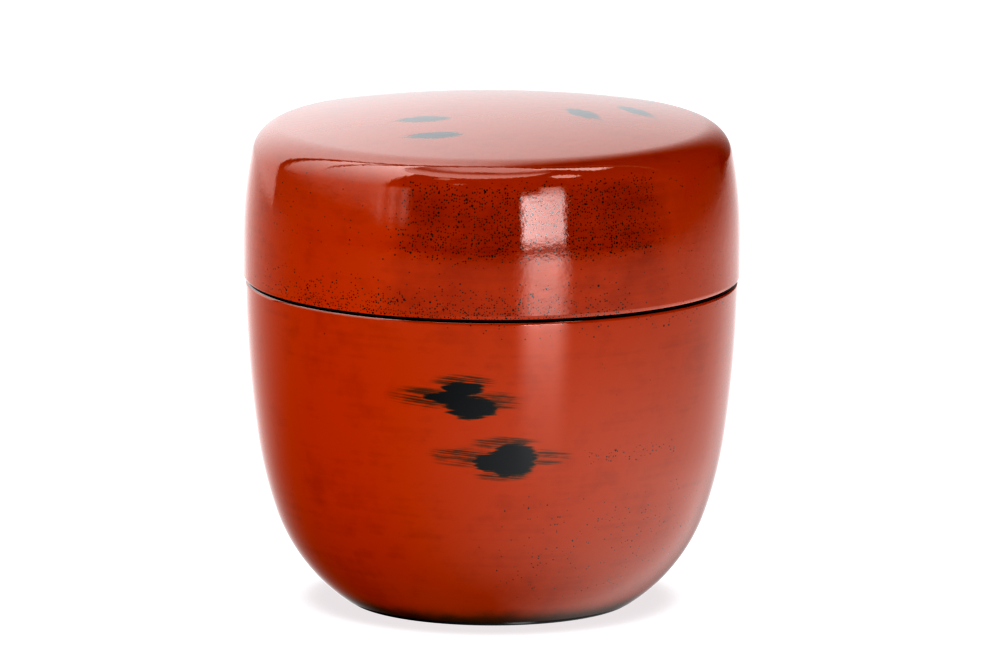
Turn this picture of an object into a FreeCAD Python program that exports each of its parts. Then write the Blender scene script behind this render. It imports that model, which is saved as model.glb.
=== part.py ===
"""Lacquered tea caddy (natsume) of medium size: a turned wooden cup and lid, each under coats of lacquer.

The row frame has +Z up. The origin is the centre of the foot's resting plane, on the turning axis.
Every piece is a body of revolution: its section is drawn in the XZ plane and turned about Z.
"""
import FreeCAD, Part

import math
import os
from types import SimpleNamespace

import Sketcher

# Driving dimensions in millimetres: alias, value, what it is.
DRIVING_SIZES = [
    # lid, outside
    ("lid_radius", 33.0, "outside radius of the lid's upright side"),
    ("lid_height", 23.05, "lip to crown of the lid"),
    ("skirt_height", 5.85, "upright part of the lid's side, from the lip up"),
    ("side_radius", 57.5, "arc that leans the lid's side in"),
    ("shoulder_radius", 4.65, "arc between the lid's side and its crown"),
    ("crown_radius", 170.0, "sphere of the lid's crown"),
    ("lip_round", 0.8, "rounding of the lid's lower outer edge"),
    # lid, inside
    ("lip_wall", 2.3, "lid's thickness at its lip"),
    ("crown_thickness", 2.4, "lid's thickness at the axis"),
    ("ceiling_round", 6.0, "arc between the lid's bore and its ceiling"),
    ("entry_round", 0.35, "rounding of the lid's lower inner edge"),
    # body, outside
    ("seam_height", 43.3, "height of the ledge that the lid rests on"),
    ("lid_overhang", 0.28, "how far the lid's side stands out past the body's widest radius"),
    ("flare_height", 2.56, "height of that widest point above the ledge, under the lid"),
    ("ledge_round", 0.6, "rounding of the body's upper outer edge"),
    ("flank_radius", 165.5, "long upper arc of the body"),
    ("flank_end", 22.62, "height where the long arc ends"),
    ("hip_radius", 55.9, "middle arc of the body"),
    ("hip_end", 12.42, "height where the middle arc ends"),
    # foot
    ("foot_inset", 14.1, "how far the foot's side stands in from the lid's side"),
    ("foot_height", 0.55, "height of the foot"),
    ("foot_step", 0.88, "how far the body overhangs the foot"),
    ("foot_round", 0.18, "rounding of the foot's edges"),
    ("foot_land", 3.4, "width of the flat ring that the caddy rests on"),
    ("recess_depth", 0.8, "depth of the hollow under the foot"),
    # body, inside
    ("wall_radius", 180.0, "long arc of the cup's inside wall"),
    ("well_round", 15.0, "arc between the cup's wall and its floor"),
    ("floor_height", 3.8, "height of the cup's floor"),
    # collar that the lid slides over
    ("collar_wall", 1.7, "thickness of the collar with its lacquer"),
    ("collar_height", 9.0, "height of the collar above the ledge"),
    ("collar_round", 0.5, "rounding of the collar's top edges"),
    ("rebate_depth", 4.0, "how far the wooden collar is let into the cup"),
    ("lid_clearance", 0.1, "radial gap between the collar and the lid's bore"),
    # lacquer
    ("red_coat", 0.15, "vermilion top coat"),
    ("black_coat", 0.25, "black foundation under the vermilion"),
    ("lining_coat", 0.3, "black lacquer inside, on the collar and under the foot"),
    ("bond_line", 0.03, "gap left between two coats, or a coat and the wood"),
]
CUT_MARGIN = 1.0  # how far an open-ended cut runs past the solid

doc = FreeCAD.newDocument("tea_caddy")


class Size:
    """A length with its number and the expression that it comes from."""

    def __init__(self, number, text):
        self.number, self.text = number, text

    def __add__(self, other):
        return Size(self.number + other.number, f"({self.text} + {other.text})")

    def __sub__(self, other):
        return Size(self.number - other.number, f"({self.text} - {other.text})")

    def __mul__(self, other):
        return Size(self.number * other.number, f"({self.text} * {other.text})")

    def __truediv__(self, other):
        return Size(self.number / other.number, f"({self.text} / {other.text})")


def plain(number):
    """A fixed number as a Size."""
    return Size(number, repr(number))


AXIS = plain(0.0)  # a corner at this x lies on the turning axis
MARGIN = plain(CUT_MARGIN)


def make_sheet():
    """The spreadsheet of driving dimensions, and the same dimensions as Sizes by name."""
    sheet = doc.addObject("Spreadsheet::Sheet", "Sizes")
    found = {}
    for row, (alias, value, note) in enumerate(DRIVING_SIZES, start=1):
        sheet.set(f"A{row}", str(value))
        sheet.setAlias(f"A{row}", alias)
        sheet.set(f"B{row}", f"'{note}")
        found[alias] = Size(value, f"Sizes.{alias}")
    doc.recompute()
    return SimpleNamespace(**found)


s = make_sheet()


# ---------------------------------------------------------------- sections


class Arc:
    """An arc edge: centre, radius, and whether it runs anticlockwise. A Size is held, and a number isn't."""

    def __init__(self, centre, radius, anticlockwise):
        self.centre, self.radius, self.anticlockwise = centre, radius, anticlockwise


LINE = None  # a straight edge


def number(value):
    return value.number if isinstance(value, Size) else value


class Section:
    """A closed chain of corners and edges in the XZ plane, which becomes a fully constrained sketch.

    A corner's coordinate is held if it is a Size, and left to the solver if it is a plain number. A smooth
    corner's two edges are tangent. Level and upright lines stay so.
    """

    def __init__(self):
        self.corners, self.edges = [], []

    def add(self, x, z, edge=LINE, smooth=False):
        """A corner, and the edge that leaves it."""
        self.corners.append((x, z, smooth))
        self.edges.append(edge)
        return self

    def _geometry(self, i):
        """The edge's geometry, and which of its ends are its start and its finish along the chain."""
        ax, az = (number(v) for v in self.corners[i][:2])
        bx, bz = (number(v) for v in self.corners[(i + 1) % len(self.corners)][:2])
        edge = self.edges[i]
        if edge is LINE:
            return Part.LineSegment(FreeCAD.Vector(ax, az), FreeCAD.Vector(bx, bz)), 1, 2
        cx, cz = (number(v) for v in edge.centre)
        first, last = math.atan2(az - cz, ax - cx), math.atan2(bz - cz, bx - cx)
        circle = Part.Circle(FreeCAD.Vector(cx, cz), FreeCAD.Vector(0, 0, 1), number(edge.radius))
        if edge.anticlockwise:
            return Part.ArcOfCircle(circle, first, last), 1, 2
        return Part.ArcOfCircle(circle, last, first), 2, 1

    def draw(self, body, name):
        """The section as a sketch on the body's XZ plane."""
        sketch = body.newObject("Sketcher::SketchObject", name)
        plane = next(o for o in body.Origin.OriginFeatures if o.Role == "XZ_Plane")
        sketch.AttachmentSupport = (plane, [""])
        sketch.MapMode = "FlatFace"
        drawn = [self._geometry(i) for i in range(len(self.corners))]
        for geometry, _, _ in drawn:
            sketch.addGeometry(geometry, False)
        for i, (x, z, smooth) in enumerate(self.corners):
            before = (i - 1) % len(drawn)
            kind = "Tangent" if smooth else "Coincident"
            sketch.addConstraint(Sketcher.Constraint(kind, before, drawn[before][2], i, drawn[i][1]))
            hold(sketch, i, drawn[i][1], x, z)
        for i, edge in enumerate(self.edges):
            if edge is LINE:
                self._keep_straight(sketch, i)
                continue
            hold(sketch, i, 3, *edge.centre)
            if isinstance(edge.radius, Size):
                bind(sketch, Sketcher.Constraint("Radius", i, edge.radius.number), edge.radius)
        doc.recompute()
        if not sketch.FullyConstrained:
            raise RuntimeError(f"sketch {name} isn't fully constrained")
        return sketch

    def _keep_straight(self, sketch, i):
        """Holds a line level or upright where its two corners don't already do that."""
        a, b = self.corners[i], self.corners[(i + 1) % len(self.corners)]
        for axis, kind in ((0, "Vertical"), (1, "Horizontal")):
            both_held = isinstance(a[axis], Size) and isinstance(b[axis], Size)
            if abs(number(a[axis]) - number(b[axis])) < 1e-9 and not both_held:
                sketch.addConstraint(Sketcher.Constraint(kind, i))


def bind(sketch, constraint, size):
    """Adds a constraint whose value follows a Size."""
    sketch.setExpression(f"Constraints[{sketch.addConstraint(constraint)}]", size.text)


def hold(sketch, edge, end, x, z):
    """Holds a point of an edge at x and z, each where it is a Size."""
    if x is AXIS:
        sketch.addConstraint(Sketcher.Constraint("PointOnObject", edge, end, -2))
    elif isinstance(x, Size):
        bind(sketch, Sketcher.Constraint("DistanceX", -1, 1, edge, end, x.number), x)
    if isinstance(z, Size):
        bind(sketch, Sketcher.Constraint("DistanceY", -1, 1, edge, end, z.number), z)


def measured(sketch, name, constraint):
    """Names a reference dimension in a sketch, so that other sketches can follow it."""
    index = sketch.addConstraint(constraint)
    sketch.setDriving(index, False)
    sketch.renameConstraint(index, name)


def block(inner, outer, bottom, top):
    """A ring of rectangular section, or a disc where inner is the axis."""
    section = Section()
    for x, z in ((inner, bottom), (outer, bottom), (outer, top), (inner, top)):
        section.add(x, z)
    return section


# ---------------------------------------------------------------- heights, radii and coats that pieces share

crown_top = s.seam_height + s.lid_height
skirt_top = s.seam_height + s.skirt_height
lip_radius = s.lid_radius - s.lip_round
bore_radius = s.lid_radius - s.lip_wall
collar_radius = bore_radius - s.lid_clearance
mouth_radius = collar_radius - s.collar_wall
belly_radius = s.lid_radius - s.lid_overhang
foot_radius = s.lid_radius - s.foot_inset
collar_top = s.seam_height + s.collar_height
rebate_floor = s.seam_height - s.rebate_depth

black_start = s.red_coat + s.bond_line
black_end = black_start + s.black_coat
wood_start = black_end + s.bond_line
lining_back = s.lining_coat + s.bond_line

coat_end = s.foot_height + s.bond_line  # height where the body's outside coats stop, above the foot
foot_edge = foot_radius + s.foot_step
recess_radius = foot_radius - s.foot_land
flare_centre_z = s.seam_height + s.flare_height
flank_centre_x = belly_radius - s.flank_radius
flank_slope = (flare_centre_z - s.flank_end) / s.flank_radius  # sine of the flank's lean at its end
hip_slope = flank_slope + (s.flank_end - s.hip_end) / s.hip_radius  # the same for the hip arc


# ---------------------------------------------------------------- outlines of the lid


def circle_meeting(near, near_reach, far, far_reach):
    """The upper right point at near_reach from one point and far_reach from another."""
    dx, dz = far[0] - near[0], far[1] - near[1]
    apart = math.hypot(dx, dz)
    along = (near_reach**2 - far_reach**2 + apart**2) / (2 * apart)
    across = math.sqrt(near_reach**2 - along**2)
    ux, uz = dx / apart, dz / apart
    choices = [
        (near[0] + along * ux - side * across * uz, near[1] + along * uz + side * across * ux)
        for side in (1, -1)
    ]
    return max(choices, key=lambda point: point[0])


def on_circle(centre, towards, radius):
    """The point of a circle in the direction of another point."""
    dx, dz = towards[0] - centre[0], towards[1] - centre[1]
    reach = math.hypot(dx, dz)
    return centre[0] + radius * dx / reach, centre[1] + radius * dz / reach


def lid_outline(inset, bottom):
    """The lid's outside, moved in by inset, closed at the height bottom, or at its lip if that is None."""
    crown, shoulder, side = (r - inset for r in (s.crown_radius, s.shoulder_radius, s.side_radius))
    crown_centre = (0.0, crown_top.number - s.crown_radius.number)
    side_centre = (s.lid_radius.number - s.side_radius.number, skirt_top.number)
    shoulder_centre = circle_meeting(
        side_centre,
        s.side_radius.number - s.shoulder_radius.number,
        crown_centre,
        s.crown_radius.number - s.shoulder_radius.number,
    )
    crown_end = on_circle(crown_centre, shoulder_centre, crown.number)
    shoulder_end = on_circle(side_centre, shoulder_centre, side.number)
    lip_centre = (lip_radius.number, s.seam_height.number + s.lip_round.number)
    lip = s.lip_round - inset
    lip_bottom = s.seam_height + inset
    section = Section()
    section.add(AXIS, crown_top - inset, Arc((AXIS, crown_centre[1]), crown, False))
    section.add(*crown_end, Arc(shoulder_centre, shoulder, False), smooth=True)
    section.add(*shoulder_end, Arc(side_centre, side, False), smooth=True)
    section.add(s.lid_radius - inset, skirt_top, smooth=True)
    skirt_x = number(s.lid_radius - inset)
    section.add(skirt_x, s.seam_height + s.lip_round, Arc(lip_centre, lip, False), smooth=True)
    if bottom is None:
        section.add(lip_radius.number, lip_bottom.number, smooth=True)
        return section.add(AXIS, lip_bottom.number)
    section.add(lip_radius, lip_bottom.number)
    section.add(lip_radius.number, bottom)
    return section.add(AXIS, bottom.number)


def lid_cavity(growth, bottom):
    """The lid's hollow, made larger all round by growth, down to the height bottom."""
    ceiling = s.crown_radius - s.crown_thickness + growth
    corner = s.ceiling_round + growth
    ceiling_top = crown_top - s.crown_thickness + growth
    bore = bore_radius + growth
    centre = (0.0, ceiling_top.number - ceiling.number)
    reach = ceiling.number - corner.number
    corner_x = bore.number - corner.number
    corner_centre = (corner_x, centre[1] + math.sqrt(reach**2 - corner_x**2))
    ceiling_end = on_circle(centre, corner_centre, ceiling.number)
    section = Section()
    section.add(AXIS, ceiling_top, Arc((AXIS, centre[1]), ceiling, False))
    section.add(*ceiling_end, Arc(corner_centre, corner, False), smooth=True)
    section.add(bore.number, corner_centre[1], smooth=True)
    section.add(bore, bottom)
    return section.add(AXIS, bottom.number)


# ---------------------------------------------------------------- outlines of the body


def body_arcs():
    """Numbers of the body's outside: centres of the edge, flank, hip and heel arcs, and the heel's radius."""
    edge_reach = s.flank_radius.number - s.ledge_round.number
    drop = s.flare_height.number + s.ledge_round.number
    edge = (
        flank_centre_x.number + math.sqrt(edge_reach**2 - drop**2),
        s.seam_height.number - s.ledge_round.number,
    )
    flank = (flank_centre_x.number, flare_centre_z.number)
    flank_cos = math.sqrt(1 - flank_slope.number**2)
    between = s.flank_radius.number - s.hip_radius.number
    hip = (flank[0] + between * flank_cos, flank[1] - between * flank_slope.number)
    hip_cos = math.sqrt(1 - hip_slope.number**2)
    hip_foot = (hip[0] + s.hip_radius.number * hip_cos, s.hip_end.number)
    dx, dz = hip_foot[0] - foot_edge.number, hip_foot[1] - coat_end.number
    heel_radius = (dx**2 + dz**2) / (2 * (dx * hip_cos - dz * hip_slope.number))
    heel = (hip_foot[0] - heel_radius * hip_cos, hip_foot[1] + heel_radius * hip_slope.number)
    return SimpleNamespace(edge=edge, flank=flank, hip=hip, heel=heel, heel_radius=heel_radius)


arcs = body_arcs()
MASTER = "body_red_coat_outside"  # the sketch that the other body outlines follow
heel_radius = Size(arcs.heel_radius, f"{MASTER}.Constraints.heel_radius / 1mm")
ledge_radius = Size(arcs.edge[0], f"{MASTER}.Constraints.ledge_radius / 1mm")


def body_outline(inset, bottom, master=False):
    """The body's outside, moved in by inset, closed at the height bottom. The master sets the heel radius."""
    edge, flank, hip = (r - inset for r in (s.ledge_round, s.flank_radius, s.hip_radius))
    heel = arcs.heel_radius if master else heel_radius - inset
    flank_start = on_circle(arcs.flank, arcs.edge, flank.number)
    hip_start = on_circle(arcs.flank, arcs.hip, flank.number)
    heel_start = on_circle(arcs.hip, arcs.heel, hip.number)
    heel_drop = arcs.heel[1] - bottom.number
    heel_end = arcs.heel[0] + math.sqrt(number(heel) ** 2 - heel_drop**2)
    section = Section()
    section.add(AXIS, s.seam_height - inset)
    section.add(arcs.edge[0], number(s.seam_height - inset), Arc(arcs.edge, edge, False), smooth=True)
    section.add(*flank_start, Arc((flank_centre_x, flare_centre_z), flank, False), smooth=True)
    section.add(hip_start[0], s.flank_end + inset * flank_slope, Arc(arcs.hip, hip, False), smooth=True)
    section.add(heel_start[0], s.hip_end + inset * hip_slope, Arc(arcs.heel, heel, False), smooth=True)
    section.add(foot_edge if master else heel_end, bottom)
    return section.add(AXIS, bottom.number)


def body_cavity(growth, top):
    """The cup's hollow, larger all round by growth: leaning walls, then upright from the rebate to top."""
    floor = s.floor_height - growth
    wall, well = s.wall_radius + growth, s.well_round + growth
    wall_centre = (mouth_radius.number - s.wall_radius.number, rebate_floor.number)
    reach = wall.number - well.number
    well_z = floor.number + well.number
    well_centre = (wall_centre[0] + math.sqrt(reach**2 - (wall_centre[1] - well_z) ** 2), well_z)
    wall_end = on_circle(wall_centre, well_centre, wall.number)
    section = Section()
    section.add(AXIS, floor)
    section.add(well_centre[0], floor.number, Arc(well_centre, well, True), smooth=True)
    section.add(*wall_end, Arc(wall_centre, wall, True), smooth=True)
    section.add(mouth_radius + growth, rebate_floor, smooth=True)
    section.add(number(mouth_radius + growth), top)
    return section.add(AXIS, top.number)


# ---------------------------------------------------------------- features


def new_body(name):
    body = doc.addObject("PartDesign::Body", name)
    body.Label = name
    return body


def turn(body, name, section):
    """Adds a section turned about Z to a body, and returns its sketch."""
    sketch = section.draw(body, f"{name}_outside")
    feature = body.newObject("PartDesign::Revolution", f"{name}_turned")
    feature.Profile = sketch
    feature.ReferenceAxis = (sketch, ["V_Axis"])
    feature.Angle = 360
    doc.recompute()
    return sketch


def hollow(body, name, section):
    """Cuts a section turned about Z out of a body."""
    before = body.Shape.Volume
    sketch = section.draw(body, f"{name}_inside")
    feature = body.newObject("PartDesign::Groove", f"{name}_cut")
    feature.Profile = sketch
    feature.ReferenceAxis = (sketch, ["V_Axis"])
    feature.Angle = 360
    doc.recompute()
    if not body.Shape.Volume < before:
        raise RuntimeError(f"{feature.Name} cuts nothing")


def soften(body, name, radius, places):
    """Rounds the circular edges of a body at these radii and heights."""
    found = []
    for i, edge in enumerate(body.Shape.Edges, start=1):
        if edge.Degenerated or not isinstance(edge.Curve, Part.Circle) or abs(edge.Curve.Axis.z) < 0.99:
            continue
        curve = edge.Curve
        for place_radius, place_z in places:
            off = max(abs(curve.Radius - place_radius.number), abs(curve.Center.z - place_z.number))
            if off < 1e-4:
                found.append(f"Edge{i}")
    if len(found) != len(places):
        raise RuntimeError(f"{name} found {len(found)} edges for {len(places)} places")
    rounded = body.Tip
    feature = body.newObject("PartDesign::Fillet", f"{name}_fillet")
    feature.Base = (rounded, found)
    feature.setExpression("Radius", radius.text)
    doc.recompute()


# ---------------------------------------------------------------- the body's pieces


def mouth_cut():
    """The flat of the ledge, which the outside coats leave to the lining."""
    return block(AXIS, ledge_radius, s.seam_height - wood_start, s.seam_height + MARGIN)


def make_body_red_coat():
    """Vermilion lacquer on the body's outside, from the ledge's edge to the foot."""
    body = new_body("body_red_coat")
    sketch = turn(body, "body_red_coat", body_outline(AXIS, coat_end, master=True))
    measured(sketch, "heel_radius", Sketcher.Constraint("Radius", 4, arcs.heel_radius))
    measured(sketch, "ledge_radius", Sketcher.Constraint("DistanceX", -1, 1, 0, 2, arcs.edge[0]))
    doc.recompute()
    hollow(body, "body_red_coat", body_outline(s.red_coat, coat_end - s.foot_height))
    hollow(body, "body_red_coat_mouth", mouth_cut())
    return body


def make_body_black_coat():
    """Black foundation lacquer under the vermilion. It shows where the vermilion is rubbed through."""
    body = new_body("body_black_coat")
    turn(body, "body_black_coat", body_outline(black_start, coat_end))
    hollow(body, "body_black_coat", body_outline(black_end, coat_end - s.foot_height))
    hollow(body, "body_black_coat_mouth", mouth_cut())
    return body


def make_body_core():
    """Turned wooden cup with a rebate for the collar and a shallow foot."""
    body = new_body("body_core")
    turn(body, "body_core", body_outline(wood_start, coat_end))
    boss_radius = foot_radius - lining_back
    turn(body, "body_core_foot", block(AXIS, boss_radius, lining_back, s.floor_height - lining_back))
    mouth_top = s.seam_height + MARGIN
    hollow(body, "body_core_cup", body_cavity(lining_back, mouth_top))
    rebate_radius = collar_radius - s.lining_coat
    hollow(body, "body_core_rebate", block(AXIS, rebate_radius, rebate_floor, mouth_top))
    recess_top = s.recess_depth + lining_back
    hollow(body, "body_core_recess", block(AXIS, recess_radius + lining_back, AXIS - MARGIN, recess_top))
    return body


def make_collar():
    """Turned wooden ring let into the cup's mouth. The lid slides over it."""
    body = new_body("collar_ring")
    inner, outer = mouth_radius + lining_back, collar_radius - lining_back
    bottom = rebate_floor + s.bond_line
    top = collar_top - lining_back
    turn(body, "collar_ring", block(inner, outer, bottom, top))
    soften(body, "collar_ring", s.collar_round - lining_back, [(inner, top), (outer, top)])
    return body


def make_body_lining():
    """Black lacquer inside the cup, over the collar and out across the ledge to the red coat."""
    body = new_body("body_lining")
    ledge_bottom = s.seam_height - black_end
    pocket_inner, pocket_outer = mouth_radius + s.lining_coat, collar_radius - s.lining_coat
    pocket_top = collar_top - s.lining_coat
    turn(body, "body_lining_cup", body_cavity(s.lining_coat, pocket_top))
    turn(body, "body_lining_collar", block(mouth_radius - MARGIN, collar_radius, ledge_bottom, collar_top))
    ledge_edge = ledge_radius - s.bond_line
    turn(body, "body_lining_ledge", block(mouth_radius, ledge_edge, ledge_bottom, s.seam_height))
    hollow(body, "body_lining_cup", body_cavity(AXIS, collar_top + MARGIN))
    pocket = block(pocket_inner, pocket_outer, ledge_bottom - MARGIN, pocket_top)
    hollow(body, "body_lining_pocket", pocket)
    edges = [(mouth_radius, collar_top), (collar_radius, collar_top)]
    soften(body, "body_lining", s.collar_round, edges)
    return body


def make_foot_coat():
    """Black lacquer under the body: the foot's side, the ring that it rests on and the hollow inside that."""
    body = new_body("foot_coat")
    turn(body, "foot_coat", block(AXIS, foot_radius, AXIS, s.foot_height))
    raised = s.recess_depth + s.lining_coat
    turn(body, "foot_coat_recess", block(AXIS, recess_radius + s.lining_coat, s.lining_coat, raised))
    inner, outer = recess_radius + s.lining_coat, foot_radius - s.lining_coat
    hollow(body, "foot_coat_channel", block(inner, outer, s.lining_coat, s.foot_height + MARGIN))
    hollow(body, "foot_coat_recess", block(AXIS, recess_radius, AXIS - MARGIN, s.recess_depth))
    soften(body, "foot_coat", s.foot_round, [(foot_radius, AXIS), (recess_radius, AXIS)])
    return body


# ---------------------------------------------------------------- the lid's pieces


def make_lid_red_coat():
    """Vermilion lacquer on the lid's outside, round its lip."""
    body = new_body("lid_red_coat")
    turn(body, "lid_red_coat", lid_outline(AXIS, None))
    hollow(body, "lid_red_coat", lid_outline(s.red_coat, s.seam_height - MARGIN))
    return body


def make_lid_black_coat():
    """Black foundation lacquer between the lid's wood and its vermilion."""
    body = new_body("lid_black_coat")
    turn(body, "lid_black_coat", lid_outline(black_start, None))
    hollow(body, "lid_black_coat", lid_outline(black_end, s.seam_height - MARGIN))
    return body


def make_lid_core():
    """Turned wooden lid, bored to pass over the collar."""
    body = new_body("lid_core")
    turn(body, "lid_core", lid_outline(wood_start, None))
    hollow(body, "lid_core", lid_cavity(lining_back, s.seam_height - MARGIN))
    return body


def make_lid_lining():
    """Black lacquer inside the lid and under its lip."""
    body = new_body("lid_lining")
    flange_top = s.seam_height + black_end
    turn(body, "lid_lining", lid_cavity(s.lining_coat, s.seam_height))
    turn(body, "lid_lining_lip", block(AXIS, lip_radius - s.bond_line, s.seam_height, flange_top))
    hollow(body, "lid_lining", lid_cavity(AXIS, s.seam_height - MARGIN))
    soften(body, "lid_lining", s.entry_round, [(bore_radius, s.seam_height)])
    return body


PIECES = [
    make_body_red_coat,
    make_body_black_coat,
    make_body_core,
    make_collar,
    make_body_lining,
    make_foot_coat,
    make_lid_red_coat,
    make_lid_black_coat,
    make_lid_core,
    make_lid_lining,
]


def check(bodies):
    """Stops the build if a feature failed or a piece isn't one valid closed solid."""
    failed = [o.Name for o in doc.Objects if "Invalid" in o.State or "Error" in o.State]
    if failed:
        raise RuntimeError(f"features failed: {failed}")
    for body in bodies:
        shape = body.Shape
        if shape.isNull() or not shape.isValid() or len(shape.Solids) != 1 or shape.Volume <= 0:
            raise RuntimeError(f"{body.Label} isn't one valid solid")


def main():
    bodies = [make() for make in PIECES]
    doc.recompute()
    check(bodies)
    os.makedirs("parts", exist_ok=True)
    for body in bodies:
        body.Shape.exportStep(f"parts/{body.Label}.step")
        box = body.Shape.optimalBoundingBox(False)
        reach = f"radius {box.XMax:.3f}, z {box.ZMin:.3f} to {box.ZMax:.3f}"
        print(f"{body.Label}: {body.Shape.Volume:.1f} mm3, {reach}")


main()
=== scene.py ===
"""Looks for the lacquered tea caddy: fine turned meshes, lacquer and wood materials, and a plain studio.

Lengths in the tables are millimetres and angles are degrees. A section is a closed loop of (radius, height)
points in millimetres, which lathe() turns about Z into a mesh in metres.
"""

import math

import bpy
from mathutils import Matrix, Vector


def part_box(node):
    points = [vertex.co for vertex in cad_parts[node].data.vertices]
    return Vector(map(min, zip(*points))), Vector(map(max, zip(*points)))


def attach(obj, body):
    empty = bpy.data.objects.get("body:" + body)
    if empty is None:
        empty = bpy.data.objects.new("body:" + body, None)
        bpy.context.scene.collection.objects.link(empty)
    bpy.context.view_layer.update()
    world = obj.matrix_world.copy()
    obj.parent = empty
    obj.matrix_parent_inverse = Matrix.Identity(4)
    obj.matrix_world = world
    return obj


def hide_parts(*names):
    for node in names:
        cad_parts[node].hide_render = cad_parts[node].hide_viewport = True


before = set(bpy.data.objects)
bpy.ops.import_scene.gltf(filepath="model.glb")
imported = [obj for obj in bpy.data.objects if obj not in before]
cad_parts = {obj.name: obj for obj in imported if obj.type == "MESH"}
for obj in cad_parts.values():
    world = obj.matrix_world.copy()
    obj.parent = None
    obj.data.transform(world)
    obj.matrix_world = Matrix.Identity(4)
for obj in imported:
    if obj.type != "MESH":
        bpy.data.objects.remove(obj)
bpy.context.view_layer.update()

MM = 0.001
SEGMENTS = 256  # facets round the axis
CHORD = 0.9  # longest step along a section
LARGEST_TURN = math.radians(4)  # in one step of an arc
SAME_POINT = 1e-5  # points of a section that are closer than this are one
ON_AXIS = 1e-6  # a smaller radius than this is on the axis
SHARP_ANGLE = math.radians(35)  # edges sharper than this are shaded sharp


# ---------------------------------------------------------------- sizes


def top_of(node):
    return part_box(node)[1].z / MM


def bottom_of(node):
    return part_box(node)[0].z / MM


def radius_of(node):
    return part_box(node)[1].x / MM


LID_RADIUS = radius_of("lid_red_coat")
CROWN_TOP = top_of("lid_red_coat")
SEAM = bottom_of("lid_red_coat")
BELLY_RADIUS = 32.72
SKIRT_HEIGHT = 5.85  # from the seam up to the lid's widest place
SIDE_RADIUS = 57.5
SHOULDER_RADIUS = 4.65
CROWN_RADIUS = 170.0
LIP_ROUND = 0.8
LIP_RADIUS = LID_RADIUS - LIP_ROUND

FLARE_CENTRE = SEAM + 2.56  # where the body would be widest if it went on up
LEDGE_ROUND = 0.6
FLANK_RADIUS = 165.5
FLANK_END = 22.62
HIP_RADIUS = 55.9
HIP_END = 12.42
COAT_END = bottom_of("body_red_coat")
FOOT_RADIUS = radius_of("foot_coat")
FOOT_EDGE = FOOT_RADIUS + 0.88  # the vermilion's lower end
FOOT_HEIGHT = 0.55
FOOT_ROUND = 0.18
FOOT_RING = 3.4  # width of the ring that the caddy rests on
RECESS_RADIUS = FOOT_RADIUS - FOOT_RING
RECESS_DEPTH = 0.8

RED_COAT = 0.15
BOND_LINE = 0.03  # between one coat and the next
BLACK_COAT_END = 0.43  # from the vermilion's face to the back of the black under it
LINING = 0.3
LIP_WALL = 2.3
LID_CLEARANCE = 0.1
COLLAR_WALL = 1.7
COLLAR_SUNK = 4.0  # how far below the seam the collar goes
BORE_RADIUS = LID_RADIUS - LIP_WALL
COLLAR_RADIUS = BORE_RADIUS - LID_CLEARANCE
MOUTH_RADIUS = COLLAR_RADIUS - COLLAR_WALL
COLLAR_TOP = top_of("body_lining")
COLLAR_ROUND = 0.5
REBATE_FLOOR = SEAM - COLLAR_SUNK
CUP_FLOOR = bottom_of("body_lining") + LINING
WALL_RADIUS = 180.0
WELL_ROUND = 15.0
CEILING_TOP = top_of("lid_lining") - LINING
CEILING_RADIUS = CROWN_RADIUS - (CROWN_TOP - CEILING_TOP)
CEILING_ROUND = 6.0
ENTRY_ROUND = 0.35


# ---------------------------------------------------------------- sections


class Arc:
    """An arc of a section: its centre, its radius, and the angles in radians that it runs between."""

    def __init__(self, centre, radius, first, last):
        self.centre, self.radius, self.first, self.last = centre, radius, first, last

    def at(self, angle):
        x, z = self.centre
        return x + self.radius * math.cos(angle), z + self.radius * math.sin(angle)

    def points(self, inset=0.0):
        """Points along the arc, its centre kept and its radius less by inset."""
        moved = Arc(self.centre, self.radius - inset, self.first, self.last)
        turn = self.last - self.first
        steps = math.ceil(max(abs(turn) * self.radius / CHORD, abs(turn) / LARGEST_TURN))
        return [moved.at(self.first + turn * i / steps) for i in range(steps + 1)]


def joined(*runs):
    """Runs of points as one list, without doubled points."""
    found = []
    for point in (point for run in runs for point in run):
        if not found or math.dist(point, found[-1]) > SAME_POINT:
            found.append(point)
    return found


def direction(centre, towards):
    """Angle of the line from one point to another."""
    return math.atan2(towards[1] - centre[1], towards[0] - centre[0])


def rounded(corner, radius, start):
    """A quarter round of this radius about its centre, anticlockwise from the start angle in degrees."""
    first = math.radians(start)
    return Arc(corner, radius, first, first + math.pi / 2).points()


def circle_meeting(near, near_reach, far, far_reach):
    """The outer point at near_reach from one point and far_reach from another."""
    dx, dz = far[0] - near[0], far[1] - near[1]
    apart = math.hypot(dx, dz)
    along = (near_reach**2 - far_reach**2 + apart**2) / (2 * apart)
    across = math.sqrt(near_reach**2 - along**2)
    ux, uz = dx / apart, dz / apart
    choices = [
        (near[0] + along * ux - side * across * uz, near[1] + along * uz + side * across * ux)
        for side in (1, -1)
    ]
    return max(choices)


def lid_arcs():
    """The lid's outside from the crown down to the lip."""
    crown = (0.0, CROWN_TOP - CROWN_RADIUS)
    side = (LID_RADIUS - SIDE_RADIUS, SEAM + SKIRT_HEIGHT)
    reach = SIDE_RADIUS - SHOULDER_RADIUS, CROWN_RADIUS - SHOULDER_RADIUS
    shoulder = circle_meeting(side, reach[0], crown, reach[1])
    crown_end, side_end = direction(crown, shoulder), direction(side, shoulder)
    lip = (LIP_RADIUS, SEAM + LIP_ROUND)
    return [
        Arc(crown, CROWN_RADIUS, math.pi / 2, crown_end),
        Arc(shoulder, SHOULDER_RADIUS, crown_end, side_end),
        Arc(side, SIDE_RADIUS, side_end, 0.0),
        Arc(lip, LIP_ROUND, 0.0, -math.pi / 2),
    ]


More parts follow.
